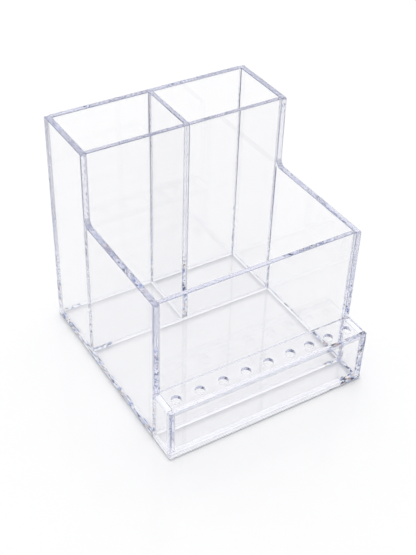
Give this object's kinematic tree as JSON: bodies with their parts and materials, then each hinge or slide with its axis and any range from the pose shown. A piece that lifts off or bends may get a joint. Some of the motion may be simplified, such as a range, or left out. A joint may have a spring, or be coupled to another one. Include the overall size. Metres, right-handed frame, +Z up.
{
  "type": "desk organizer",
  "caption": "Clear acrylic desk organizer with tall cells at the back, a wide open compartment and a low front tray whose top is drilled for pencils.",
  "frame": {"origin": "centre of the footprint, on the surface that the base rests on", "axes": "+X to the right along the width, +Y from the pencil tray to the back wall, +Z up"},
  "size_m": [0.18, 0.196, 0.196],
  "materials": {
    "clear_acrylic": "water-clear cast acrylic sheet, polished faces and polished edges"
  },
  "bodies": {
    "root": {"base_plate": "clear_acrylic", "back_wall": "clear_acrylic", "left_side_wall": "clear_acrylic", "right_side_wall": "clear_acrylic", "middle_wall": "clear_acrylic", "divider": "clear_acrylic", "front_wall": "clear_acrylic", "tray_front": "clear_acrylic", "tray_left_end": "clear_acrylic", "tray_right_end": "clear_acrylic", "tray_top_plate": "clear_acrylic"}
  },
  "joints": []
}
